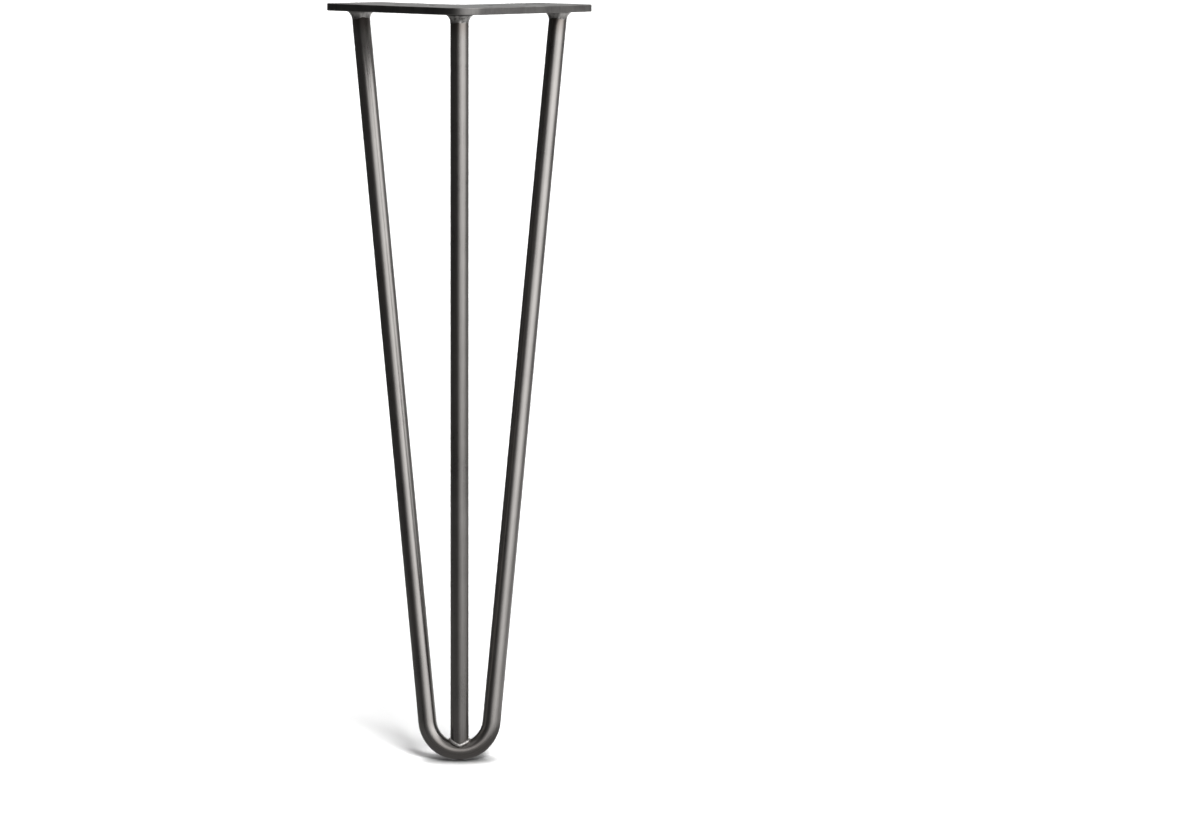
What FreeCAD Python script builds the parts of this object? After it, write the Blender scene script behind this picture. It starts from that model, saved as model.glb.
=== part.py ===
import FreeCAD, Part
import math
import os

# Hairpin table leg. An L-shaped mounting plate carries a bar bent into a narrow U and a straight
# centre bar, and both bars meet at the foot. All sizes are in millimetres.
# The origin is on the plate's top face, above the centre bar. +Z is up and the leg hangs below it.
# The plate's outer corner points to -Y, and its two arms run back to the left and to the right.

# Overall size
leg_height = 410.0               # from the plate's top face to the floor
foot_splay = 32.0                # how far the foot stands out in front of the centre bar's top

# Mounting plate
plate_thickness = 4.0
plate_arm_length = 107.0         # along the outer edge, from the sharp outer corner
plate_arm_width = 43.0
plate_outer_radius = 17.0        # rounding of the outer corner
plate_inner_radius = 10.0        # rounding of the inside corner
plate_end_radius = 5.0           # rounding of the four corners at the arm ends
plate_edge_break = 0.4           # bevel that takes the sharp rims off after cutting

# Screw holes, countersunk from below for wood screws
screw_hole_diameter = 5.5
screw_head_diameter = 10.5
screw_near_along = 44.0          # along the arm, from the outer corner to the first hole
screw_far_along = 72.0           # along the arm, to the second hole

# Bars
rod_diameter = 10.0
rod_inset = 14.5                 # bar axis to the outer edges and to the arm ends, at the plate
bend_radius = 17.7               # centre line of the bend at the foot
foot_tip = 4.1                   # the centre bar's end is a blunt V, its point this far above the bend's centre line
foot_rise = 0.5                  # rise of the V towards both sides, per millimetre

# Weld round the top of each bar
weld_leg_on_plate = 2.7          # how far the fillet reaches out over the plate
weld_leg_on_rod = 4.5            # how far it reaches down the bar
weld_hollow = 0.28               # the face's reach half way down, as a share of its leg on the plate
weld_toe = 0.2                   # thickness of the fillet's lower edge
weld_lobe_height = 0.22          # the bead swells and narrows this much round the bar
weld_lobe_count = 5
weld_taper = 0.75                # share of the lobes and the notch that is gone at the lower edge
weld_notch = 0.5                 # how far the fillet falls back in front, where the bead starts and stops
weld_notch_angle = 18.0          # half width of that place, in degrees

# Weld round the foot of the centre bar
foot_weld_radius = 1.15
foot_weld_steps = 10             # straight strokes that the bead is laid in

# Worked-out places
rod_radius = rod_diameter / 2
underside = -plate_thickness
diagonal = math.sqrt(0.5)
corner_y = -rod_inset / diagonal
across_x = FreeCAD.Vector(1, 0, 0)
up_z = FreeCAD.Vector(0, 0, 1)
overshoot = plate_thickness + rod_diameter


# A point measured from the plate's outer corner, along one arm and across it.
# The right arm has side 1 and the left arm has side -1.
def on_plate(along, across, side, height):
    x = side * (along - across) * diagonal
    y = corner_y + (along + across) * diagonal
    return FreeCAD.Vector(x, y, height)


foot_point = FreeCAD.Vector(0, -foot_splay, rod_radius - leg_height)
centre_top = FreeCAD.Vector(0, 0, underside)
side_tops = {}
for side in (-1, 1):
    side_tops[side] = on_plate(plate_arm_length - rod_inset, rod_inset, side, underside)


# Plate: the L is cut from flat bar stock, its corners are rounded and its rims are bevelled.
def round_corner(solid, corner, radius):
    chosen = []
    for edge in solid.Edges:
        middle = edge.CenterOfMass
        upright = abs(edge.tangentAt(edge.FirstParameter).z) > 0.99
        if upright and math.hypot(middle.x - corner.x, middle.y - corner.y) < 0.01:
            chosen.append(edge)
    return solid.makeFillet(radius, chosen)


def countersunk_hole(centre):
    shank_radius = screw_hole_diameter / 2
    head_radius = screw_head_diameter / 2
    head_depth = head_radius - shank_radius
    below = FreeCAD.Vector(centre.x, centre.y, underside)
    shank = Part.makeCylinder(shank_radius, plate_thickness, below, up_z)
    head = Part.makeCone(head_radius, shank_radius, head_depth, below, up_z)
    return shank.fuse(head)


def mounting_plate():
    outer_corner = on_plate(0, 0, 1, underside)
    inner_corner = on_plate(plate_arm_width, plate_arm_width, 1, underside)
    outer_ends = [on_plate(plate_arm_length, 0, side, underside) for side in (1, -1)]
    inner_ends = [on_plate(plate_arm_length, plate_arm_width, side, underside) for side in (1, -1)]
    outline = [outer_corner, outer_ends[0], inner_ends[0], inner_corner, inner_ends[1], outer_ends[1]]
    face = Part.Face(Part.makePolygon(outline + [outer_corner]))
    plate = face.extrude(FreeCAD.Vector(0, 0, plate_thickness))
    plate = round_corner(plate, outer_corner, plate_outer_radius)
    plate = round_corner(plate, inner_corner, plate_inner_radius)
    for corner in outer_ends + inner_ends:
        plate = round_corner(plate, corner, plate_end_radius)
    rims = []
    for edge in plate.Edges:
        if edge.BoundBox.ZLength < 0.01:
            rims.append(edge)
    plate = plate.makeChamfer(plate_edge_break, rims)
    for along in (screw_near_along, screw_far_along):
        for side in (-1, 1):
            plate = plate.cut(countersunk_hole(on_plate(along, plate_arm_width / 2, side, 0)))
    return plate


# Bars: both are cut flush with the plate's underside.
def trim_at_plate(bar):
    reach = 2 * (plate_arm_length + foot_splay)
    corner = FreeCAD.Vector(-reach, -reach, underside)
    return bar.cut(Part.makeBox(2 * reach, 2 * reach, 2 * overshoot, corner))


# Hairpin bar: two straight runs and a tangent bend, in one plane that leans back from the foot.
plane_middle = FreeCAD.Vector(0, side_tops[1].y, underside)
plane_up = (plane_middle - foot_point).normalize()
bend_centre = foot_point + plane_up * bend_radius
bend_turn = math.atan2(side_tops[1].x, (plane_middle - bend_centre).Length)
bend_turn = bend_turn + math.acos(bend_radius / (side_tops[1] - bend_centre).Length)
tangents = {}
run_directions = {}
for side in (-1, 1):
    sideways = across_x * (side * bend_radius * math.sin(bend_turn))
    tangents[side] = bend_centre + sideways + plane_up * (bend_radius * math.cos(bend_turn))
    run_directions[side] = (side_tops[side] - tangents[side]).normalize()


def hairpin_rod():
    left_end = side_tops[-1] + run_directions[-1] * overshoot
    right_end = side_tops[1] + run_directions[1] * overshoot
    left_run = Part.LineSegment(left_end, tangents[-1]).toShape()
    bend = Part.Arc(tangents[-1], foot_point, tangents[1]).toShape()
    right_run = Part.LineSegment(tangents[1], right_end).toShape()
    path = Part.Wire([left_run, bend, right_run])
    section = Part.Face(Part.Wire(Part.makeCircle(rod_radius, left_end, run_directions[-1])))
    return trim_at_plate(path.makePipe(section))


# Centre bar: straight. Its foot is cut to a blunt V and coped where it sits on the inside of the bend.
centre_axis = (centre_top - foot_point).normalize()
front_to_back = centre_axis.cross(across_x)
foot_end = foot_point + centre_axis * foot_tip


def centre_rod(bent_bar):
    length = (centre_top - foot_end).Length + overshoot
    bar = Part.makeCylinder(rod_radius, length, foot_end, centre_axis)
    front = foot_end - front_to_back * rod_diameter
    for side in (-1, 1):
        level = front + across_x * (side * rod_diameter)
        raised = level + centre_axis * (foot_rise * rod_diameter)
        wedge = Part.Face(Part.makePolygon([front, level, raised, front]))
        bar = bar.cut(wedge.extrude(front_to_back * (2 * rod_diameter)))
    return trim_at_plate(bar).cut(bent_bar)


# One level of a plate weld: a circle with shallow lobes, and a dent in front where the bead
# starts and stops. The lobes turn with the level, so they run aslant down the weld's face.
def weld_ring(centre, reach, share):
    points = []
    count = 4 * weld_lobe_count
    for number in range(count):
        angle = 2 * math.pi * number / count
        off_front = math.remainder(angle + math.pi / 2, 2 * math.pi)
        dent = weld_notch * math.exp(-(off_front / math.radians(weld_notch_angle)) ** 2)
        lobe = weld_lobe_height * math.cos(weld_lobe_count * angle + math.pi * share)
        radius = rod_radius + reach + (lobe - dent) * (1 - weld_taper * share)
        outward = FreeCAD.Vector(math.cos(angle), math.sin(angle), 0)
        points.append(centre + outward * radius)
    curve = Part.BSplineCurve()
    curve.interpolate(Points=points, PeriodicFlag=True)
    return Part.Wire(curve.toShape())


# Plate weld: a hollow fillet round the bar's top, in two bands that follow the leaning bar.
def plate_weld(top, direction, bar):
    leaning = direction * (1 / direction.z)
    rings = []
    for share, reach in ((0.0, weld_leg_on_plate), (0.5, weld_leg_on_plate * weld_hollow), (1.0, weld_toe)):
        rings.append(weld_ring(top - leaning * (weld_leg_on_rod * share), reach, share))
    return Part.makeLoft(rings, True, True).cut(bar)


# Middle of the foot weld at one angle round the centre bar: half way from the bar's rim to the bend.
def weld_point(angle):
    sideways = across_x * math.cos(angle) + front_to_back * math.sin(angle)
    rise = foot_rise * rod_radius * abs(math.cos(angle))
    rim = foot_end + centre_axis * rise + sideways * rod_radius
    offset = rim - bend_centre
    in_plane = across_x * offset.x + plane_up * offset.dot(plane_up)
    inward = bend_centre + in_plane.normalize() * bend_radius - rim
    gap = inward.Length - rod_radius
    return rim + inward.normalize() * (gap / 2)


# Foot weld: a thin bead round the centre bar's end, where it sits on the bend.
def foot_weld(bent_bar, straight_bar):
    points = []
    for number in range(foot_weld_steps):
        points.append(weld_point(2 * math.pi * (number + 0.5) / foot_weld_steps))
    start = (points[0] + points[-1]) / 2
    path = Part.makePolygon([start] + points + [start])
    section = Part.Wire(Part.makeCircle(foot_weld_radius, start, points[0] - start))
    mitred = 1
    bead = path.makePipeShell([section], True, False, mitred)
    return bead.cut(straight_bar).cut(bent_bar)


plate = mounting_plate()
hairpin = hairpin_rod()
centre = centre_rod(hairpin)
nodes = {
    "mounting_plate": plate,
    "hairpin_rod": hairpin,
    "centre_rod": centre,
    "plate_weld_left": plate_weld(side_tops[-1], run_directions[-1], hairpin),
    "plate_weld_right": plate_weld(side_tops[1], run_directions[1], hairpin),
    "plate_weld_centre": plate_weld(centre_top, centre_axis, centre),
    "foot_weld": foot_weld(hairpin, centre),
}

os.makedirs("parts", exist_ok=True)
for name, shape in nodes.items():
    shape.exportStep("parts/" + name + ".step")
    box = shape.BoundBox
    print(name, "solids", len(shape.Solids), "valid", shape.isValid(), "volume %.1f" % shape.Volume,
          "z %.2f to %.2f" % (box.ZMin, box.ZMax))
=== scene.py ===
import math

import bmesh
import bpy
import numpy as np
from mathutils import Matrix, Vector


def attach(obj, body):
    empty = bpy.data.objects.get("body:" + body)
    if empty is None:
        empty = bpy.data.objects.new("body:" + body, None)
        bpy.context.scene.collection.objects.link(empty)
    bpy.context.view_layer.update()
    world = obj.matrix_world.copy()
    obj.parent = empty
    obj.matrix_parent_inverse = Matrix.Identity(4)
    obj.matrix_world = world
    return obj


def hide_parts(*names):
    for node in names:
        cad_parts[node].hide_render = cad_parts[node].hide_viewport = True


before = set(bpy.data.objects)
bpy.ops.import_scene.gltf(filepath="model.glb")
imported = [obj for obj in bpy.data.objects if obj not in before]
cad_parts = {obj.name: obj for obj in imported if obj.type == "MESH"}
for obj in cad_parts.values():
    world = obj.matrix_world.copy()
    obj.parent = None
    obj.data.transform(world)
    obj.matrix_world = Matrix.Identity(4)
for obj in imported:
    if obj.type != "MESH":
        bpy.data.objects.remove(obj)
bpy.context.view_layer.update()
print("frame loaded")

# Everything is in metres. The leg hangs from the plate's top face at z = 0 and -Y is the front.
leg = {
    "height": 0.410,
    "footSplay": 0.032,        # foot stands this far in front of the centre bar's top
    "barRadius": 0.005,
    "bendRadius": 0.0177,
    "plateThickness": 0.004,
    "armLength": 0.107,
    "barInset": 0.0145,
    "footTip": 0.0041,         # point of the centre bar's blunt V, above the bend's centre line
    "footSlope": 0.50,         # rise of the V towards both sides
}

underside = -leg["plateThickness"]
diagonal = math.sqrt(0.5)
cornerY = -leg["barInset"] / diagonal
acrossX = Vector((1, 0, 0))
mergeDistance = 1e-6
sharpAngle = math.radians(40)


# A point measured from the plate's outer corner, along one arm and across it.
# The right arm has side 1 and the left arm has side -1.
def onPlate(along, across, side, height):
    return Vector((side * (along - across) * diagonal, cornerY + (along + across) * diagonal, height))


footPoint = Vector((0, -leg["footSplay"], leg["barRadius"] - leg["height"]))
centreTop = Vector((0, 0, underside))
sideTop = onPlate(leg["armLength"] - leg["barInset"], leg["barInset"], 1, underside)
planeUp = (Vector((0, sideTop.y, underside)) - footPoint).normalized()
planeNormal = acrossX.cross(planeUp)
bendCentre = footPoint + planeUp * leg["bendRadius"]
bendTurn = math.atan2(sideTop.x, (Vector((0, sideTop.y, underside)) - bendCentre).length)
bendTurn += math.acos(leg["bendRadius"] / (sideTop - bendCentre).length)
towardsTangent = acrossX * math.sin(bendTurn) + planeUp * math.cos(bendTurn)
tangentPoint = bendCentre + towardsTangent * leg["bendRadius"]
rightRun = (sideTop - tangentPoint).normalized()
leftRun = Vector((-rightRun.x, rightRun.y, rightRun.z))
leftTop = Vector((-sideTop.x, sideTop.y, sideTop.z))
centreAxis = (centreTop - footPoint).normalized()


def distanceToBend(point):
    offset = point - bendCentre
    inPlane = math.hypot(offset.x, offset.dot(planeUp))
    return math.hypot(inPlane - leg["bendRadius"], offset.dot(planeNormal))


# Height of the centre bar's end above the bend's centre line: the V, or the bend's steel where
# that is higher. The steel's height is found by halving.
def endHeight(sideways, radius):
    low, high = 0.0, leg["bendRadius"]
    for halving in range(40):
        middle = (low + high) / 2
        if distanceToBend(footPoint + centreAxis * middle + sideways * radius) > leg["barRadius"]:
            high = middle
        else:
            low = middle
    return max(high, leg["footTip"] + leg["footSlope"] * abs(sideways.x) * radius)


def towardsBend(point):
    offset = point - bendCentre
    flat = (acrossX * offset.x + planeUp * offset.dot(planeUp)).normalized()
    return (bendCentre + flat * leg["bendRadius"] - point).normalized()


def roundCentreBar(angle):
    return acrossX * math.cos(angle) + centreAxis.cross(acrossX) * math.sin(angle)


# shader helpers
white = (1, 1, 1, 1)
patternRange = (0.3, 0.7)      # most of a noise pattern lies between these values


def addNode(tree, kind, values=None, **settings):
    node = tree.nodes.new(kind)
    for name, value in settings.items():
        setattr(node, name, value)
    for name, value in (values or {}).items():
        if isinstance(value, bpy.types.NodeSocket):
            tree.links.new(value, node.inputs[name])
        else:
            node.inputs[name].default_value = value
    return node


def newMaterial(name):
    material = bpy.data.materials.new(name)
    material.use_nodes = True
    material.node_tree.nodes.clear()
    return material, material.node_tree


def ramp(tree, factor, stops):
    node = addNode(tree, "ShaderNodeValToRGB", {"Fac": factor})
    elements = node.color_ramp.elements
    while len(elements) < len(stops):
        elements.new(0.5)
    for element, (place, colour) in zip(elements, stops):
        element.position = place
        element.color = (*colour, 1)
    return node.outputs["Color"]


def mapRange(tree, value, fromLow, fromHigh, toLow, toHigh, smooth=False):
    node = addNode(tree, "ShaderNodeMapRange", {
        "Value": value, "From Min": fromLow, "From Max": fromHigh, "To Min": toLow, "To Max": toHigh})
    if smooth:
        node.interpolation_type = "SMOOTHSTEP"
    return node.outputs["Result"]


def math2(tree, operation, first, second, clamp=False):
    node = addNode(tree, "ShaderNodeMath", {0: first, 1: second}, operation=operation, use_clamp=clamp)
    return node.outputs[0]


def weighted(tree, first, firstShare, second, secondShare):
    firstPart = math2(tree, "MULTIPLY", first, firstShare)
    secondPart = math2(tree, "MULTIPLY", second, secondShare)
    return math2(tree, "ADD", firstPart, secondPart)


def mixColour(tree, factor, first, second, blend="MIX"):
    node = addNode(tree, "ShaderNodeMix", data_type="RGBA", blend_type=blend)
    for socket, value in ((0, factor), (6, first), (7, second)):
        if isinstance(value, bpy.types.NodeSocket):
            tree.links.new(value, node.inputs[socket])
        else:
            node.inputs[socket].default_value = value if socket == 0 else (*value, 1)
    return node.outputs[2]


def noise(tree, vector, scale, detail=3.0, roughness=0.55):
    stretched = addNode(tree, "ShaderNodeMapping", {"Vector": vector, "Scale": scale}).outputs[0]
    node = addNode(tree, "ShaderNodeTexNoise", {
        "Vector": stretched, "Scale": 1.0, "Detail": detail, "Roughness": roughness})
    return node.outputs["Fac"]


def steelSurface(tree, finish, colour, roughness, relief):
    bump = addNode(tree, "ShaderNodeBump", {
        "Strength": finish["relief"], "Distance": finish["reliefDepth"], "Height": relief})
    shader = addNode(tree, "ShaderNodeBsdfPrincipled", {
        "Base Color": colour, "Metallic": 1.0, "Roughness": roughness, "Normal": bump.outputs[0],
        "Coat Weight": finish["coat"], "Coat Roughness": finish["coatRoughness"]})
    addNode(tree, "ShaderNodeOutputMaterial", {"Surface": shader.outputs[0]})


# Drawn bar, clear lacquered: fine lines along the bar, faint clouds, heat tint beside the welds.
# Every density is in patterns per metre.
barFinish = {
    "shades": (
        # place in the pattern, colour
        (0.33, (0.168, 0.160, 0.154)),
        (0.68, (0.239, 0.228, 0.219)),
    ),
    "lineDensity": 1500.0,     # round the bar
    "lineStretch": 14.0,       # along the bar
    "streakShare": 0.6,        # relief of the broad streaks beside that of the lines
    "cloudDensity": 38.0,
    "speckDensity": 900.0,
    "speckRange": (0.62, 0.75),
    "speckRoughness": 0.08,
    "roughness": (0.25, 0.34),
    "relief": 0.6,
    "reliefDepth": 0.00002,
    "coat": 0.20,
    "coatRoughness": 0.20,
    "heatTint": (0.125, 0.106, 0.092),
    "heatStart": 0.0045,       # full tint this far below the plate
    "heatReach": 0.011,        # and gone this much further down
    "plateHeat": 0.8,
    "footHeights": (0.004, 0.012),     # full tint and none, above the foot point
    "footHeat": 0.35,
}


def makeBarSteel():
    v = barFinish
    material, tree = newMaterial("drawnSteel")
    space = addNode(tree, "ShaderNodeAttribute", attribute_name="barSpace").outputs["Vector"]
    place = addNode(tree, "ShaderNodeTexCoord").outputs["Object"]
    height = addNode(tree, "ShaderNodeSeparateXYZ", {"Vector": place}).outputs["Z"]
    density, stretch = v["lineDensity"], v["lineStretch"]
    lines = noise(tree, space, (density, density, stretch), 5, 0.65)
    streaks = noise(tree, space, (density / 6, density / 6, stretch / 3), 2)
    clouds = noise(tree, place, [v["cloudDensity"]] * 3, 5, 0.6)
    specks = noise(tree, place, [v["speckDensity"]] * 3, 2)
    shade = weighted(tree, clouds, 0.5, lines, 0.5)
    colour = ramp(tree, shade, v["shades"])
    heatTop = underside - v["heatStart"]
    nearPlate = mapRange(tree, height, heatTop - v["heatReach"], heatTop, 0, v["plateHeat"], True)
    full, none = v["footHeights"]
    nearFoot = mapRange(tree, height, footPoint.z + none, footPoint.z + full, 0, v["footHeat"], True)
    patches = mapRange(tree, clouds, *patternRange, 0.5, 1.0)
    heat = math2(tree, "MULTIPLY", math2(tree, "MAXIMUM", nearPlate, nearFoot), patches)
    colour = mixColour(tree, heat, colour, v["heatTint"])
    roughness = mapRange(tree, shade, *patternRange, *v["roughness"])
    dull = mapRange(tree, specks, *v["speckRange"], 0, v["speckRoughness"])
    roughness = math2(tree, "ADD", roughness, dull)
    grooves = weighted(tree, lines, 1.0, streaks, v["streakShare"])
    steelSurface(tree, v, colour, roughness, grooves)
    return material


# Flat bar stock for the plate: darker rolled skin with clouds, upright cutting marks on its edges.
plateFinish = {
    "shades": (
        # place in the pattern, colour
        (0.34, (0.112, 0.108, 0.105)),
        (0.66, (0.195, 0.189, 0.183)),
    ),
    "worn": (0.34, 0.33, 0.32),
    "wornPatches": (0.35, 0.65),
    "leastWear": 0.25,
    "cloudDensity": 55.0,
    "grainDensity": 1300.0,
    "grainTurn": 45.0,         # grain on the faces runs along one arm
    "rollStretch": 40,
    "cutStretch": 22,
    "edgeSlope": (0.35, 0.75), # upright part of the normal, on a cut edge and on a face
    "edgeShade": 0.80,         # cut edges have this share of the faces' colour
    "faceRoughness": (0.40, 0.54),
    "edgeRoughness": (0.26, 0.38),
    "relief": 0.5,
    "reliefDepth": 0.00003,
    "coat": 0.06,
    "coatRoughness": 0.3,
}


def makePlateSteel():
    v = plateFinish
    material, tree = newMaterial("rolledSteel")
    place = addNode(tree, "ShaderNodeTexCoord").outputs["Object"]
    normal = addNode(tree, "ShaderNodeNewGeometry").outputs["Normal"]
    upright = addNode(tree, "ShaderNodeSeparateXYZ", {"Vector": normal}).outputs["Z"]
    onEdge = mapRange(tree, math2(tree, "ABSOLUTE", upright, 0.0), *v["edgeSlope"], 1, 0)
    wear = addNode(tree, "ShaderNodeAttribute", attribute_name="rimWear").outputs["Fac"]
    grain = v["grainDensity"]
    clouds = noise(tree, place, [v["cloudDensity"]] * 3, 6, 0.62)
    turned = addNode(tree, "ShaderNodeMapping", {
        "Vector": place, "Rotation": (0, 0, math.radians(v["grainTurn"]))}).outputs[0]
    rolled = noise(tree, turned, (grain, grain / v["rollStretch"], grain), 4, 0.6)
    cutMarks = noise(tree, place, (grain, grain, grain / v["cutStretch"]), 3, 0.6)
    grainHere = mixColour(tree, onEdge, rolled, cutMarks)
    grainHere = addNode(tree, "ShaderNodeSeparateXYZ", {"Vector": grainHere}).outputs[0]
    shade = weighted(tree, clouds, 0.65, grainHere, 0.35)
    colour = ramp(tree, shade, v["shades"])
    patches = mapRange(tree, clouds, *v["wornPatches"], v["leastWear"], 1.0)
    colour = mixColour(tree, math2(tree, "MULTIPLY", wear, patches), colour, v["worn"])
    colour = mixColour(tree, onEdge, colour, [v["edgeShade"]] * 3, "MULTIPLY")
    levels = []
    for low, high in (v["faceRoughness"], v["edgeRoughness"]):
        levels.append(mapRange(tree, shade, *patternRange, high, low))
    roughness = mapRange(tree, onEdge, 0, 1, *levels)
    steelSurface(tree, v, colour, roughness, grainHere)
    return material


# Weld metal: brushed clean, lighter than the bars, mottled with soot; the collars carry painted shade,
# darkest where they meet the plate.
weldFinish = {
    "shades": (
        # place in the pattern, colour: soot, bare metal, bright metal
        (0.34, (0.10, 0.096, 0.092)),
        (0.47, (0.50, 0.486, 0.470)),
        (0.66, (0.74, 0.72, 0.70)),
    ),
    # colour of the painted shade on the collars
    "paintedShade": (0.020, 0.019, 0.018),
    "spotDensity": 420.0,
    "fineShare": 0.35,         # relief of the fine pits beside that of the spots
    "roughness": (0.28, 0.50),
    "relief": 0.7,
    "reliefDepth": 0.00006,
    "coat": 0.0,
    "coatRoughness": 0.03,
}


def makeWeldSteel():
    v = weldFinish
    material, tree = newMaterial("weldSteel")
    place = addNode(tree, "ShaderNodeTexCoord").outputs["Object"]
    # the hollow attribute is painted shade: full where a collar meets the plate, a share over the rest of
    # it, none on the foot bead
    hollow = addNode(tree, "ShaderNodeAttribute", attribute_name="hollow").outputs["Fac"]
    density = v["spotDensity"]
    spots = noise(tree, place, [density] * 3, 5, 0.6)
    broad = noise(tree, place, [density / 4] * 3, 3)
    fine = noise(tree, place, [density * 5] * 3, 2)
    colour = ramp(tree, weighted(tree, spots, 0.6, broad, 0.4), v["shades"])
    colour = mixColour(tree, hollow, colour, v["paintedShade"])
    low, high = v["roughness"]
    roughness = mapRange(tree, spots, *patternRange, high, low)
    pits = weighted(tree, spots, 1.0, fine, v["fineShare"])
    steelSurface(tree, v, colour, roughness, pits)
    return material


barSteel = makeBarSteel()
plateSteel = makePlateSteel()
weldSteel = makeWeldSteel()
print("materials made")


# shape helpers
def newPiece(name, mesh):
    piece = bpy.data.objects.new(name, mesh)
    bpy.context.scene.collection.objects.link(piece)
    return piece


def joinRings(shape, rings):
    for upper, lower in zip(rings, rings[1:]):
        for n in range(len(upper)):
            shape.faces.new((upper[n - 1], lower[n - 1], lower[n], upper[n])).smooth = True


def finishMesh(shape, name, finish, angle):
    bmesh.ops.recalc_face_normals(shape, faces=shape.faces)
    mesh = bpy.data.meshes.new(name)
    shape.to_mesh(mesh)
    shape.free()
    mesh.materials.append(finish)
    mesh.set_sharp_from_angle(angle=angle)
    return mesh


# A node tree with named inputs, the first of them the path, and one output.
def newShapeTree(name, inputs, output):
    tree = bpy.data.node_groups.new(name, "GeometryNodeTree")
    for label, kind in inputs.items():
        tree.interface.new_socket(label, in_out="INPUT", socket_type="NodeSocket" + kind)
    tree.interface.new_socket(output, in_out="OUTPUT", socket_type="NodeSocketGeometry")
    return tree, tree.nodes.new("NodeGroupInput").outputs


def endShapeTree(tree, geometry, finish):
    smooth = addNode(tree, "GeometryNodeSetShadeSmooth", {"Geometry": geometry})
    whole = addNode(tree, "GeometryNodeRealizeInstances", {"Geometry": smooth.outputs[0]})
    finished = addNode(tree, "GeometryNodeSetMaterial", {"Geometry": whole.outputs[0], "Material": finish})
    tree.links.new(finished.outputs[0], tree.nodes.new("NodeGroupOutput").inputs[0])


def pathObject(name, points, closed=False):
    curve = bpy.data.curves.new(name, "CURVE")
    curve.dimensions = "3D"
    spline = curve.splines.new("POLY")
    spline.points.add(len(points) - 1)
    for knot, point in zip(spline.points, points):
        knot.co = (*point, 1)
    spline.use_cyclic_u = closed
    return newPiece(name, curve)


# Runs a node tree on a path with the given inputs, and keeps the result as a plain mesh.
def growMesh(name, path, tree, values, finish):
    modifier = path.modifiers.new("shape", "NODES")
    modifier.node_group = tree
    sockets = {item.name: item.identifier for item in tree.interface.items_tree if item.in_out == "INPUT"}
    for label, value in values.items():
        modifier[sockets[label]] = value
    modifier[sockets["Finish"]] = finish
    grown = path.evaluated_get(bpy.context.evaluated_depsgraph_get())
    mesh = bpy.data.meshes.new_from_object(grown)
    mesh.name = name
    bpy.data.objects.remove(path)
    mesh.set_sharp_from_angle(angle=sharpAngle)
    return mesh


# bars: a path with a rounded corner, swept with a circle and cut level with the plate
barShape = {
    "roundSteps": 72,
    "stepLength": 0.0015,
    "bendSteps": 56,
    "spare": 0.003,            # sweep runs this far into the plate before it is cut level
    "footRings": (0.8, 0.6, 0.4, 0.2),     # rings that close the coped foot, in bar radii
}


def makeBarTree():
    tree, given = newShapeTree("sweptBar", {
        "Path": "Geometry", "Bar radius": "Float", "Bend radius": "Float", "Bend steps": "Int",
        "Round steps": "Int", "Step length": "Float", "Cut height": "Float", "Finish": "Material"}, "Bar")
    link = tree.links.new
    rounded = addNode(tree, "GeometryNodeFilletCurve", {
        "Curve": given["Path"], "Radius": given["Bend radius"], "Count": given["Bend steps"]}, mode="POLY")
    stepped = addNode(tree, "GeometryNodeResampleCurve", {
        "Curve": rounded.outputs[0], "Length": given["Step length"]}, mode="LENGTH")
    pathNotes = tree.nodes.new("GeometryNodeCaptureAttribute")
    pathNotes.capture_items.new("FLOAT", "Along")
    pathNotes.capture_items.new("VECTOR", "Direction")
    link(stepped.outputs[0], pathNotes.inputs["Geometry"])
    link(tree.nodes.new("GeometryNodeSplineParameter").outputs["Length"], pathNotes.inputs["Along"])
    link(tree.nodes.new("GeometryNodeInputTangent").outputs[0], pathNotes.inputs["Direction"])
    circle = addNode(tree, "GeometryNodeCurvePrimitiveCircle", {
        "Resolution": given["Round steps"], "Radius": given["Bar radius"]})
    sectionNotes = tree.nodes.new("GeometryNodeCaptureAttribute")
    sectionNotes.capture_items.new("VECTOR", "Round")
    link(circle.outputs[0], sectionNotes.inputs["Geometry"])
    link(tree.nodes.new("GeometryNodeInputPosition").outputs[0], sectionNotes.inputs["Round"])
    swept = addNode(tree, "GeometryNodeCurveToMesh", {
        "Curve": pathNotes.outputs["Geometry"], "Profile Curve": sectionNotes.outputs["Geometry"],
        "Fill Caps": True})
    # points above the cut slide back along the bar until they are level with it
    here = tree.nodes.new("GeometryNodeInputPosition").outputs[0]
    direction = pathNotes.outputs["Direction"]
    hereZ = addNode(tree, "ShaderNodeSeparateXYZ", {"Vector": here}).outputs["Z"]
    alongZ = addNode(tree, "ShaderNodeSeparateXYZ", {"Vector": direction}).outputs["Z"]
    above = math2(tree, "SUBTRACT", hereZ, given["Cut height"])
    share = math2(tree, "DIVIDE", above, alongZ)
    slide = addNode(tree, "ShaderNodeVectorMath", {0: direction, "Scale": share}, operation="SCALE")
    back = addNode(tree, "ShaderNodeVectorMath", {0: here, 1: slide.outputs[0]}, operation="SUBTRACT")
    isAbove = addNode(tree, "FunctionNodeCompare", {
        "A": above, "B": 0.0}, data_type="FLOAT", operation="GREATER_THAN")
    cut = addNode(tree, "GeometryNodeSetPosition", {
        "Geometry": swept.outputs[0], "Selection": isAbove.outputs[0], "Position": back.outputs[0]})
    merged = addNode(tree, "GeometryNodeMergeByDistance", {
        "Geometry": cut.outputs[0], "Distance": mergeDistance})
    roundXyz = addNode(tree, "ShaderNodeSeparateXYZ", {"Vector": sectionNotes.outputs["Round"]})
    barSpace = addNode(tree, "ShaderNodeCombineXYZ", {
        "X": roundXyz.outputs["X"], "Y": roundXyz.outputs["Y"], "Z": pathNotes.outputs["Along"]})
    stored = addNode(tree, "GeometryNodeStoreNamedAttribute", {
        "Geometry": merged.outputs[0], "Name": "barSpace", "Value": barSpace.outputs[0]},
        data_type="FLOAT_VECTOR", domain="POINT")
    endShapeTree(tree, stored.outputs[0], given["Finish"])
    return tree


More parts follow.
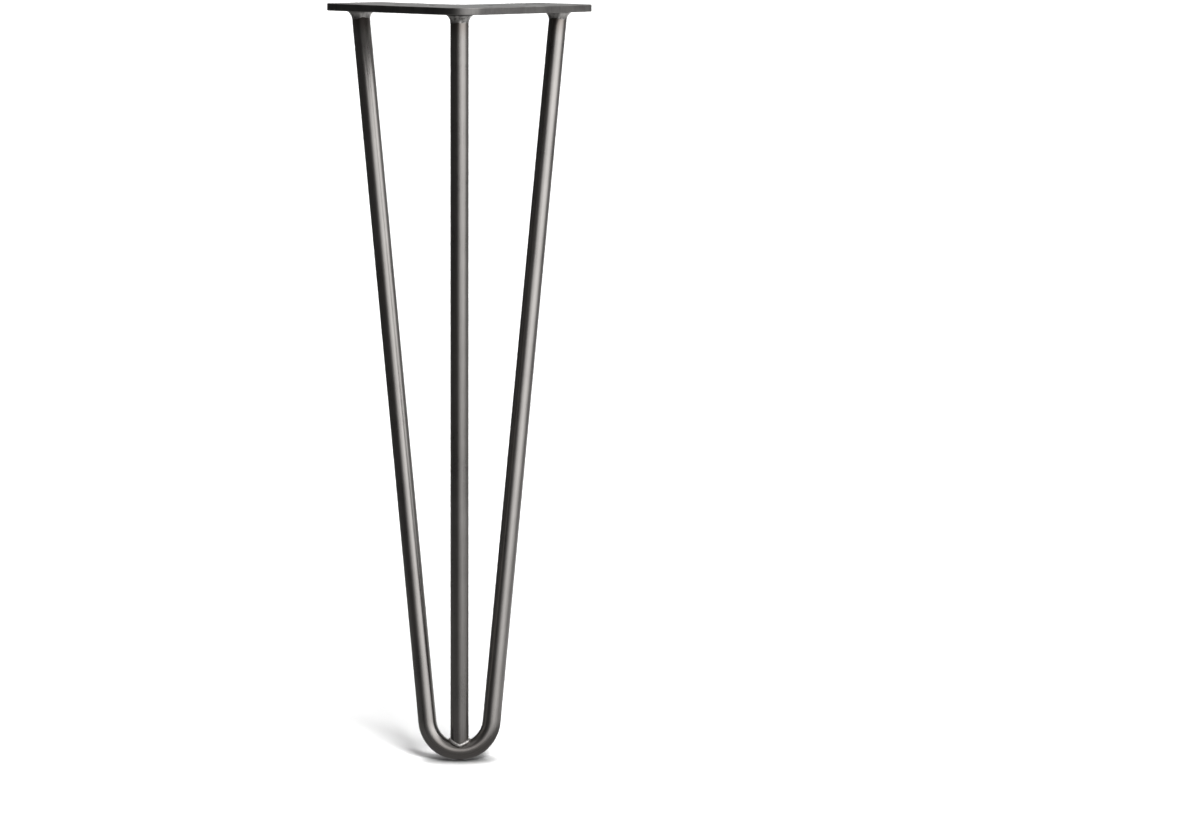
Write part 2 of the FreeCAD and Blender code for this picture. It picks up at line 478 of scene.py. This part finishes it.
barTree = makeBarTree()
barValues = {
    "Bar radius": leg["barRadius"],
    "Bend radius": leg["bendRadius"],
    "Bend steps": barShape["bendSteps"],
    "Round steps": barShape["roundSteps"],
    "Step length": barShape["stepLength"],
    "Cut height": underside,
}


def makeBentBar():
    sharpFoot = sideTop - rightRun * (sideTop.x / rightRun.x)     # where the two runs would meet
    spare = barShape["spare"]
    path = pathObject("bentPath", (leftTop + leftRun * spare, sharpFoot, sideTop + rightRun * spare))
    return newPiece("bentBar", growMesh("bentBar", path, barTree, barValues, barSteel))


def isLowCap(face):
    return len(face.verts) > 4 and face.calc_center_median().z < -leg["height"] / 2


def angleRoundBar(vert):
    return math.atan2((vert.co - footPoint).dot(centreAxis.cross(acrossX)), vert.co.x)


# The straight bar's foot is cut to a blunt V, and coped where it sits on the bend.
def makeStraightBar():
    start = footPoint + centreAxis * leg["footTip"]
    path = pathObject("straightPath", (start, centreTop + centreAxis * barShape["spare"]))
    mesh = growMesh("straightBar", path, barTree, barValues, barSteel)
    shape = bmesh.new()
    shape.from_mesh(mesh)
    lowCap = [face for face in shape.faces if isLowCap(face)]
    bmesh.ops.delete(shape, geom=lowCap, context="FACES_ONLY")
    for vert in shape.verts:
        offset = vert.co - footPoint
        along = offset.dot(centreAxis)
        if along > leg["bendRadius"]:
            continue
        sideways = (offset - centreAxis * along).normalized()
        height = endHeight(sideways, leg["barRadius"])
        if along < height:
            vert.co = footPoint + centreAxis * height + sideways * leg["barRadius"]
    bmesh.ops.remove_doubles(shape, verts=shape.verts, dist=mergeDistance)
    rim = {vert for edge in shape.edges if edge.is_boundary for vert in edge.verts}
    loop = sorted(rim, key=angleRoundBar)
    spaceLayer = shape.verts.layers.float_vector["barSpace"]
    outer = loop
    for share in barShape["footRings"]:
        inner = []
        for vert in loop:
            offset = vert.co - footPoint
            sideways = (offset - centreAxis * offset.dot(centreAxis)).normalized()
            radius = leg["barRadius"] * share
            fresh = shape.verts.new(footPoint + centreAxis * endHeight(sideways, radius) + sideways * radius)
            fresh[spaceLayer] = vert[spaceLayer] * share
            inner.append(fresh)
        for n in range(len(loop)):
            shape.faces.new((outer[n - 1], outer[n], inner[n], inner[n - 1]))
        outer = inner
    shape.faces.new(outer)
    bmesh.ops.recalc_face_normals(shape, faces=shape.faces)
    for face in shape.faces:
        face.smooth = True
    shape.to_mesh(mesh)
    shape.free()
    mesh.set_sharp_from_angle(angle=sharpAngle)
    return newPiece("straightBar", mesh)


bentBar = makeBentBar()
straightBar = makeStraightBar()
print("bars swept", len(bentBar.data.polygons), len(straightBar.data.polygons))


# plate: an L with rounded corners, eased rims and countersunk screw holes
plateShape = {
    "armWidth": 0.043,
    "outerRadius": 0.017,
    "innerRadius": 0.010,
    "endRadius": 0.005,
    "cornerStep": math.radians(3),
    "rim": 0.0004,
    "rimSteps": 4,
    "supportRing": 1.15,       # a ring this many rims from each face keeps the shading clean
    "rimWear": 1.0,
    "edgeWear": 0.3,
    "holeWear": 0.6,
    "holeRadius": 0.00275,
    "headRadius": 0.00525,
    "holeRim": 0.00015,
    "holeSteps": 72,
    "holesAlong": (0.044, 0.072),
    "flatNormal": 0.999,       # faces more level than this are shaded flat
}


def plateOutline():
    length, width = leg["armLength"], plateShape["armWidth"]
    corners = [
        (onPlate(0, 0, 1, 0), plateShape["outerRadius"]),
        (onPlate(length, 0, 1, 0), plateShape["endRadius"]),
        (onPlate(length, width, 1, 0), plateShape["endRadius"]),
        (onPlate(width, width, 1, 0), plateShape["innerRadius"]),
        (onPlate(length, width, -1, 0), plateShape["endRadius"]),
        (onPlate(length, 0, -1, 0), plateShape["endRadius"]),
    ]
    points = []
    for n, (corner, radius) in enumerate(corners):
        before = (corner - corners[n - 1][0]).normalized()
        after = (corners[(n + 1) % len(corners)][0] - corner).normalized()
        turn = math.atan2(before.cross(after).z, before.dot(after))
        side = 1 if turn > 0 else -1
        start = corner - before * radius * math.tan(abs(turn) / 2)
        centre = start + Vector((-before.y, before.x, 0)) * radius * side
        startNormal = Vector((before.y, -before.x, 0))
        steps = round(abs(turn) / plateShape["cornerStep"])
        for step in range(steps + 1):
            normal = Matrix.Rotation(turn * step / steps, 3, "Z") @ startNormal
            points.append((centre + normal * radius * side, normal))
    return points


# Inset and height of each ring round the plate's edge, from the top face to the underside.
def edgeLevels():
    rim, thickness = plateShape["rim"], leg["plateThickness"]
    support = rim * plateShape["supportRing"]
    quarter = [math.pi / 2 * step / plateShape["rimSteps"] for step in range(plateShape["rimSteps"] + 1)]
    levels = [(rim - rim * math.sin(a), -rim + rim * math.cos(a)) for a in quarter]
    levels += [(0, -support), (0, -thickness + support)]
    levels += [(rim - rim * math.cos(a), -thickness + rim - rim * math.sin(a)) for a in quarter]
    return levels


# Radius and height of each ring down a countersunk hole.
def holeLevels():
    thickness = leg["plateThickness"]
    hole, head, bevel = plateShape["holeRadius"], plateShape["headRadius"], plateShape["holeRim"]
    coneTop = -thickness + head - hole
    eased = bevel * 0.3
    return [
        (hole + bevel, 0),
        (hole + eased, -eased),
        (hole, -bevel),
        (hole, coneTop + bevel),
        (hole + eased, coneTop - eased),
        (head - bevel * 0.5, -thickness + bevel * 0.5),
        (head + bevel * 0.2, -thickness),
    ]


def makePlate():
    shape = bmesh.new()
    wear = shape.verts.layers.float.new("rimWear")
    outline = plateOutline()
    rings = []
    for inset, height in edgeLevels():
        ring = [shape.verts.new((*(point - normal * inset).xy, height)) for point, normal in outline]
        share = inset / plateShape["rim"]      # 1 on the two faces, 0 on the cut edge
        worn = plateShape["rimWear"] if share > 0.05 else plateShape["edgeWear"]
        for vert in ring:
            vert[wear] = 0.0 if share > 0.95 else worn
        rings.append(ring)
    joinRings(shape, rings)
    topLoops, bottomLoops = [rings[0]], [rings[-1]]
    for along in plateShape["holesAlong"]:
        for side in (-1, 1):
            centre = onPlate(along, plateShape["armWidth"] / 2, side, 0)
            rings = []
            for radius, height in holeLevels():
                ring = []
                for n in range(plateShape["holeSteps"]):
                    angle = -2 * math.pi * n / plateShape["holeSteps"]
                    x = centre.x + radius * math.cos(angle)
                    y = centre.y + radius * math.sin(angle)
                    ring.append(shape.verts.new((x, y, height)))
                rings.append(ring)
            for ring in rings[1:-1]:
                for vert in ring:
                    vert[wear] = plateShape["holeWear"]
            joinRings(shape, rings)
            topLoops.append(rings[0])
            bottomLoops.append(rings[-1])
    for loops in (topLoops, bottomLoops):
        edges = [shape.edges.get((loop[n - 1], loop[n])) for loop in loops for n in range(len(loop))]
        bmesh.ops.triangle_fill(shape, edges=edges, use_beauty=True)
    mesh = finishMesh(shape, "steelPlate", plateSteel, sharpAngle)
    for face in mesh.polygons:
        face.use_smooth = abs(face.normal.z) < plateShape["flatNormal"]
    return newPiece("steelPlate", mesh)


steelPlate = makePlate()
print("plate made", len(steelPlate.data.polygons))


# collar welds under the plate: hollow fillets, laid in short overlapping strokes
collarShape = {
    "reachOnPlate": 0.0027,
    "reachOnBar": 0.0045,
    "hollow": 2.2,             # higher is more hollow
    "toe": 0.00006,
    "thinnest": 0.00003,
    "strokes": 15,
    "strokeHeight": 0.00007,
    "strokeRate": 1.15,        # strokes die out at 1 / strokeRate of the way down
    "strokeFullness": 0.6,
    "strokeLean": 0.55,
    "strokeDrift": 0.12,
    "lobe": 0.00018,
    "lobeWaves": ((1.0, 3), (0.7, 5), (0.4, 9)),       # share and count of each wave round the bar
    "lobeFade": 1.3,
    "toeWander": 0.00030,
    "toeWaves": ((0.6, 4), (0.4, 7), (0.3, 13)),
    "notch": 0.0005,           # where the weld starts and stops, in front
    "notchWidth": 16.0,
    "collarShade": 0.42,             # painted shade: share of the dark colour over the collar below the line at the plate
    "plateShadeLine": (2, 9),        # painted shade where the collar meets the plate: share there before it is capped at 1, and its fall
    "insideBar": 0.0003,       # the closed ring's inner wall is this far inside the bar
    "innerReach": 0.98,
    "roundSteps": 216,
    "downSteps": 30,
    "sharpAngle": math.radians(50),
}


def waveSum(waves, angles, phases):
    return sum(share * np.sin(count * angles + phase) for (share, count), phase in zip(waves, phases))


def makeCollar(name, top, direction, seed, notchAngle):
    rng = np.random.default_rng(seed)
    phases = rng.uniform(0, 2 * math.pi, 8)
    v = collarShape
    leaning = direction / direction.z
    angles = np.arange(v["roundSteps"]) * 2 * math.pi / v["roundSteps"]
    offNotch = (angles - math.radians(notchAngle) + math.pi) % (2 * math.pi) - math.pi
    dent = v["notch"] * np.exp(-(offNotch / math.radians(v["notchWidth"])) ** 2)
    lobe = v["lobe"] * waveSum(v["lobeWaves"], angles, phases[:3])
    wander = v["toeWander"] * waveSum(v["toeWaves"], angles, phases[3:6])
    drift = v["strokeDrift"] * np.sin(2 * angles + phases[6])
    shape = bmesh.new()
    # the hollow attribute holds each ring's share of painted shade
    shadeLayer = shape.verts.layers.float.new("hollow")
    rings = []

    def addRing(down, radius, paintedShade):
        ring = []
        for n, angle in enumerate(angles):
            outward = Vector((math.cos(angle), math.sin(angle), 0))
            vert = shape.verts.new(top - leaning * down[n] + outward * radius[n])
            vert[shadeLayer] = paintedShade
            ring.append(vert)
        rings.append(ring)

    shadeStart, shadeFall = v["plateShadeLine"]
    for row in range(v["downSteps"] + 1):
        t = row / v["downSteps"]
        onStroke = t * v["strokeRate"]
        fade = math.sin(math.pi * onStroke) ** v["strokeFullness"] if 0 < onStroke < 1 else 0.0
        # strokes overlap like scales and lean as they go down
        stroke = (v["strokes"] * angles / (2 * math.pi) + v["strokeLean"] * t + drift) % 1.0
        scale = v["strokeHeight"] * fade * (1 - (2 * stroke - 1) ** 2)
        reach = v["toe"] + (v["reachOnPlate"] - v["toe"]) * (1 - t) ** v["hollow"]
        reach = reach + (lobe - dent) * (1 - t) ** v["lobeFade"] + scale
        down = v["reachOnBar"] * t + wander * t ** 2
        # painted shade: full at the plate, falling to the collar's share further down
        paintedShade = max(v["collarShade"], min(1.0, shadeStart - shadeFall * t))
        addRing(down, leg["barRadius"] + np.maximum(reach, v["thinnest"]), paintedShade)
    # back inside the bar and up to the plate, so the weld is a closed ring
    inside = [leg["barRadius"] - v["insideBar"]] * len(angles)
    for down in (v["reachOnBar"] * v["innerReach"], 0.0):
        addRing([down] * len(angles), inside, 0.0)
    rings.append(rings[0])
    joinRings(shape, rings)
    return newPiece(name, finishMesh(shape, name, weldSteel, v["sharpAngle"]))


collarLeft = makeCollar("collarWeldLeft", leftTop, leftRun, 3, -80)
collarRight = makeCollar("collarWeldRight", sideTop, rightRun, 5, -100)
collarCentre = makeCollar("collarWeldCentre", centreTop, centreAxis, 8, -92)
print("collar welds made")


# foot weld: a thin bead along the cope line
footShape = {
    "beadRadius": 0.00098,
    "pull": 0.40,              # share of the way from the bar's edge to the bend
    "pathPoints": 96,
    "stepLength": 0.0002,
    "roundSteps": 20,
    "unevenness": 0.00016,
    "unevenScale": 700.0,
    "seed": 4,
}


def makeBeadTree():
    tree, given = newShapeTree("weldBead", {
        "Path": "Geometry", "Bead radius": "Float", "Round steps": "Int", "Step length": "Float",
        "Unevenness": "Float", "Uneven scale": "Float", "Seed": "Float", "Finish": "Material"}, "Bead")
    stepped = addNode(tree, "GeometryNodeResampleCurve", {
        "Curve": given["Path"], "Length": given["Step length"]}, mode="LENGTH")
    circle = addNode(tree, "GeometryNodeCurvePrimitiveCircle", {
        "Resolution": given["Round steps"], "Radius": given["Bead radius"]})
    swept = addNode(tree, "GeometryNodeCurveToMesh", {
        "Curve": stepped.outputs[0], "Profile Curve": circle.outputs[0]})
    uneven = addNode(tree, "ShaderNodeTexNoise", {
        "W": given["Seed"], "Scale": given["Uneven scale"], "Detail": 2.0}, noise_dimensions="4D")
    around = math2(tree, "SUBTRACT", uneven.outputs["Fac"], 0.5)
    amount = math2(tree, "MULTIPLY", math2(tree, "MULTIPLY", around, 2.0), given["Unevenness"])
    normal = tree.nodes.new("GeometryNodeInputNormal").outputs[0]
    push = addNode(tree, "ShaderNodeVectorMath", {0: normal, "Scale": amount}, operation="SCALE")
    moved = addNode(tree, "GeometryNodeSetPosition", {
        "Geometry": swept.outputs[0], "Offset": push.outputs[0]})
    endShapeTree(tree, moved.outputs[0], given["Finish"])
    return tree


def makeFootBead():
    points = []
    for n in range(footShape["pathPoints"]):
        sideways = roundCentreBar(2 * math.pi * (n + 0.5) / footShape["pathPoints"])
        point = footPoint + centreAxis * endHeight(sideways, leg["barRadius"]) + sideways * leg["barRadius"]
        gap = distanceToBend(point) - leg["barRadius"]
        points.append(point + towardsBend(point) * (gap * footShape["pull"]))
    values = {
        "Bead radius": footShape["beadRadius"],
        "Round steps": footShape["roundSteps"],
        "Step length": footShape["stepLength"],
        "Unevenness": footShape["unevenness"],
        "Uneven scale": footShape["unevenScale"],
        "Seed": float(footShape["seed"]),
    }
    path = pathObject("copeLine", points, closed=True)
    return newPiece("footBead", growMesh("footBead", path, makeBeadTree(), values, weldSteel))


footBead = makeFootBead()
print("foot bead made", len(footBead.data.polygons))

for piece, node, slot in (
    (steelPlate, "mounting_plate", "plate_steel"),
    (bentBar, "hairpin_rod", "bar_steel"),
    (straightBar, "centre_rod", "bar_steel"),
    (collarLeft, "plate_weld_left", "weld_metal"),
    (collarRight, "plate_weld_right", "weld_metal"),
    (collarCentre, "plate_weld_centre", "weld_metal"),
    (footBead, "foot_weld", "weld_metal"),
):
    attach(piece, "root")
    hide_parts(node)


# studio: a white floor with painted contact shadow, two suns that lay the shadow on it, and cards that only
# the steel reflects
# Azimuths are in degrees to the right of the front.
studio = {
    "floorSize": 60.0,
    "floorColour": 0.95,
    "floorGlow": 0.05,         # part of the floor's white that doesn't depend on the lamps
    "ambient": 0.08,
    "suns": (
        # name, azimuth, elevation, strength, spread
        ("keyLamp", 23.0, 48.0, 4.6, 23.0),
        ("topFill", 170.0, 62.0, 0.9, 60.0),
    ),
    "contactReach": 0.010,     # painted contact shadow: the floor's colour darkens this close to the steel
    "contactPower": 2.4,
    "contactSamples": 5,
    "cards": (
        # name, radius, from azimuth, to azimuth, low, high, grey
        ("leftCard", 3.0, -165.0, -40.0, -0.41, 3.2, 0.08),
        ("frontCard", 3.0, -40.0, 110.0, -0.41, 3.2, 0.16),
        ("rightCard", 3.0, 110.0, 150.0, -0.41, 3.2, 0.40),
        ("backCard", 3.0, 150.0, 195.0, -0.41, 3.2, 0.85),
        ("frontStrip", 2.8, -6.0, 12.0, 0.75, 1.20, 3.0),
    ),
    "cardSteps": 12,
    "floorCards": (
        # name, from azimuth, to azimuth, inner reach, outer reach, grey
        ("nearFloorCard", -180.0, 180.0, 0.003, 0.12, 0.27),
        ("leftFloorCard", -180.0, -10.0, 0.12, 0.9, 0.23),
        ("frontFloorCard", -10.0, 20.0, 0.12, 0.9, 0.45),
        ("rightFloorCard", 20.0, 180.0, 0.12, 0.9, 0.80),
        ("farLeftFloorCard", -165.0, -10.0, 0.9, 3.0, 0.08),
        ("farFrontFloorCard", -10.0, 20.0, 0.9, 3.0, 0.30),
        ("farRightFloorCard", 20.0, 150.0, 0.9, 3.0, 0.50),
    ),
    "floorCardSteps": 24,
    "floorCardLift": 0.0002,
    "lidHeight": 3.2,
    "lidHalf": 4.0,
    "lidGrey": 0.60,
    "flagReach": 0.055,        # a flag beside the plate keeps light off the left bar's top
    "flagGap": 0.001,
    "flagDrop": 0.0002,
    "flagGrey": 0.03,
}

# Curved soft wall from the front round to the right, brightest in the middle, seen only by the steel.
softWall = {
    "radius": 2.9,
    "azimuths": (-40.0, 110.0),
    "heights": (-0.41, 2.40),
    "radiance": 3.75,
    # azimuth or height, share of the radiance
    "across": ((-40, 0.02), (-30, 0.06), (-18, 0.16), (-5, 0.40), (8, 0.68), (20, 0.90), (32, 1.0),
               (60, 1.0), (70, 0.86), (80, 0.56), (90, 0.28), (100, 0.18), (110, 0.14)),
    "upwards": ((-0.41, 0.12), (-0.28, 0.24), (-0.15, 0.42), (0.17, 0.75), (0.45, 0.97), (0.6, 1.0),
                (1.3, 1.0), (1.9, 0.9), (2.4, 0.5)),
    "lean": 20.0,              # the top of the pattern is turned this far to the right
    "steps": 48,
}


def glowMaterial(name, grey):
    material, tree = newMaterial(name)
    glow = addNode(tree, "ShaderNodeEmission", {"Color": (grey, grey, grey, 1), "Strength": 1.0})
    addNode(tree, "ShaderNodeOutputMaterial", {"Surface": glow.outputs[0]})
    return material


# 1 for a ray from the camera or from a reflection, and 0 for light on a matt surface.
def seenDirectly(tree):
    path = addNode(tree, "ShaderNodeLightPath").outputs
    seen = math2(tree, "ADD", path["Is Camera Ray"], path["Is Glossy Ray"], True)
    return math2(tree, "ADD", seen, path["Is Transmission Ray"], True)


def squareCorners(half, height):
    return [(-half, -half, height), (half, -half, height), (half, half, height), (-half, half, height)]


def makeFloor():
    mesh = bpy.data.meshes.new("floor")
    mesh.from_pydata(squareCorners(studio["floorSize"] / 2, -leg["height"]), [], [(0, 1, 2, 3)])
    material, tree = newMaterial("floorWhite")
    # painted contact shadow: ambient occlusion near the steel darkens the floor's matt colour
    paintedContactShade = addNode(tree, "ShaderNodeAmbientOcclusion", {
        "Distance": studio["contactReach"]}, samples=studio["contactSamples"]).outputs["AO"]
    shade = math2(tree, "POWER", paintedContactShade, studio["contactPower"])
    matt = addNode(tree, "ShaderNodeBsdfDiffuse", {
        "Color": math2(tree, "MULTIPLY", shade, studio["floorColour"])})
    glow = addNode(tree, "ShaderNodeEmission", {
        "Color": white, "Strength": math2(tree, "MULTIPLY", seenDirectly(tree), studio["floorGlow"])})
    both = addNode(tree, "ShaderNodeAddShader", {0: matt.outputs[0], 1: glow.outputs[0]})
    addNode(tree, "ShaderNodeOutputMaterial", {"Surface": both.outputs[0]})
    mesh.materials.append(material)
    floor = newPiece("floor", mesh)


def makeCard(name, points, faces, material):
    mesh = bpy.data.meshes.new(name)
    mesh.from_pydata(points, [], faces)
    mesh.materials.append(material)
    card = newPiece(name, mesh)
    card.visible_camera = False
    card.visible_diffuse = False
    card.visible_shadow = False
    return mesh


# An upright band round the leg, between two azimuths.
def curvedBand(radius, azimuths, heights, steps):
    start, end = azimuths
    points = []
    for n in range(steps + 1):
        azimuth = math.radians(start + (end - start) * n / steps)
        x, y = radius * math.sin(azimuth), -radius * math.cos(azimuth)
        points += [(x, y, height) for height in heights]
    faces = [(2 * n, 2 * n + 2, 2 * n + 3, 2 * n + 1) for n in range(steps)]
    return points, faces


# A level part of a ring round the foot, between two azimuths.
def floorBand(reaches, azimuths, level, steps):
    start, end = azimuths
    points = []
    for n in range(steps + 1):
        azimuth = math.radians(start + (end - start) * n / steps)
        for reach in reaches:
            points.append((reach * math.sin(azimuth), footPoint.y - reach * math.cos(azimuth), level))
    faces = [(2 * n, 2 * n + 1, 2 * n + 3, 2 * n + 2) for n in range(steps)]
    return points, faces


def makeCards():
    for name, radius, start, end, low, high, grey in studio["cards"]:
        points, faces = curvedBand(radius, (start, end), (low, high), studio["cardSteps"])
        makeCard(name, points, faces, glowMaterial(name + "Grey", grey))
    level = -leg["height"] + studio["floorCardLift"]
    for name, start, end, inner, outer, grey in studio["floorCards"]:
        points, faces = floorBand((inner, outer), (start, end), level, studio["floorCardSteps"])
        makeCard(name, points, faces, glowMaterial(name + "Grey", grey))
    points = squareCorners(studio["lidHalf"], studio["lidHeight"])
    makeCard("lid", points, [(0, 3, 2, 1)], glowMaterial("lidGrey", studio["lidGrey"]))
    gap, level, reach = studio["flagGap"], -studio["flagDrop"], studio["flagReach"]
    near = onPlate(0, -gap, 1, level)
    far = onPlate(leg["armLength"], -gap, -1, level)
    points = [near, far, far + Vector((-1, -1, 0)) * reach, near - Vector((0, 1, 0)) * reach]
    makeCard("flag", points, [(0, 1, 2, 3)], glowMaterial("flagGrey", studio["flagGrey"]))


# Strength of the soft wall at a place given by its UV: one ramp across and one upwards.
def wallMaterial():
    material, tree = newMaterial("softWallGlow")
    place = addNode(tree, "ShaderNodeTexCoord").outputs["UV"]
    uv = addNode(tree, "ShaderNodeSeparateXYZ", {"Vector": place}).outputs
    strength = softWall["radiance"]
    for axis, limits, stops in (("X", "azimuths", "across"), ("Y", "heights", "upwards")):
        low, high = softWall[limits]
        placed = [((value - low) / (high - low), (share, share, share)) for value, share in softWall[stops]]
        strength = math2(tree, "MULTIPLY", ramp(tree, uv[axis], placed), strength)
    glow = addNode(tree, "ShaderNodeEmission", {"Color": white, "Strength": strength})
    addNode(tree, "ShaderNodeOutputMaterial", {"Surface": glow.outputs[0]})
    return material


def makeSoftWall():
    start, end = softWall["azimuths"]
    steps = softWall["steps"]
    lean = softWall["lean"] / (end - start)
    points, faces = curvedBand(softWall["radius"], softWall["azimuths"], softWall["heights"], steps)
    mesh = makeCard("softWall", points, faces, wallMaterial())
    spots = []
    for n in range(steps + 1):
        spots += [(n / steps, 0), (n / steps - lean, 1)]
    layer = mesh.uv_layers.new(name="wallMap")
    for loop in mesh.loops:
        layer.data[loop.index].uv = spots[loop.vertex_index]


# Suns light only the matt floor, where they lay the shadow.
def makeSuns():
    for name, azimuth, elevation, strength, spread in studio["suns"]:
        lamp = bpy.data.lights.new(name, "SUN")
        lamp.energy = strength
        lamp.angle = math.radians(spread)
        sun = bpy.data.objects.new(name, lamp)
        sun.rotation_euler = (math.pi / 2 - math.radians(elevation), 0, math.radians(azimuth))
        sun.visible_camera = False
        sun.visible_glossy = False
        bpy.context.scene.collection.objects.link(sun)


def makeWorld():
    world = bpy.data.worlds.new("studioWorld")
    world.use_nodes = True
    tree = world.node_tree
    tree.nodes.clear()
    strength = mapRange(tree, seenDirectly(tree), 0, 1, studio["ambient"], 1.0)
    glow = addNode(tree, "ShaderNodeBackground", {"Color": white, "Strength": strength})
    addNode(tree, "ShaderNodeOutputWorld", {"Surface": glow.outputs[0]})
    bpy.context.scene.world = world


makeFloor()
makeCards()
makeSoftWall()
makeSuns()
makeWorld()
print("studio lit")


# camera
view = {
    "place": (0.0, -1.900, 0.0605),
    "pitch": 0.1457,
    "yaw": 0.0407,
    "roll": 0.0059,
    "pictureWidth": 1200,      # in pixels
    "focalPixels": 3486.5,
    "sensorWidth": 36.0,
    "clip": (0.05, 200.0),
}


def makeCamera():
    yaw, pitch, roll = view["yaw"], view["pitch"], view["roll"]
    ahead = Vector((math.sin(yaw) * math.cos(pitch), math.cos(yaw) * math.cos(pitch), -math.sin(pitch)))
    right = Vector((math.cos(yaw), -math.sin(yaw), 0))
    up = right.cross(ahead)
    rolledRight = right * math.cos(roll) + up * math.sin(roll)
    rolledUp = up * math.cos(roll) - right * math.sin(roll)
    lens = bpy.data.cameras.new("camera")
    lens.sensor_width = view["sensorWidth"]
    lens.lens = view["focalPixels"] * view["sensorWidth"] / view["pictureWidth"]
    lens.clip_start, lens.clip_end = view["clip"]
    camera = bpy.data.objects.new("camera", lens)
    axes = Matrix((rolledRight, rolledUp, -ahead)).transposed().to_4x4()
    camera.matrix_world = Matrix.Translation(view["place"]) @ axes
    bpy.context.scene.collection.objects.link(camera)
    bpy.context.scene.camera = camera


makeCamera()
bpy.context.scene.view_settings.view_transform = "Standard"
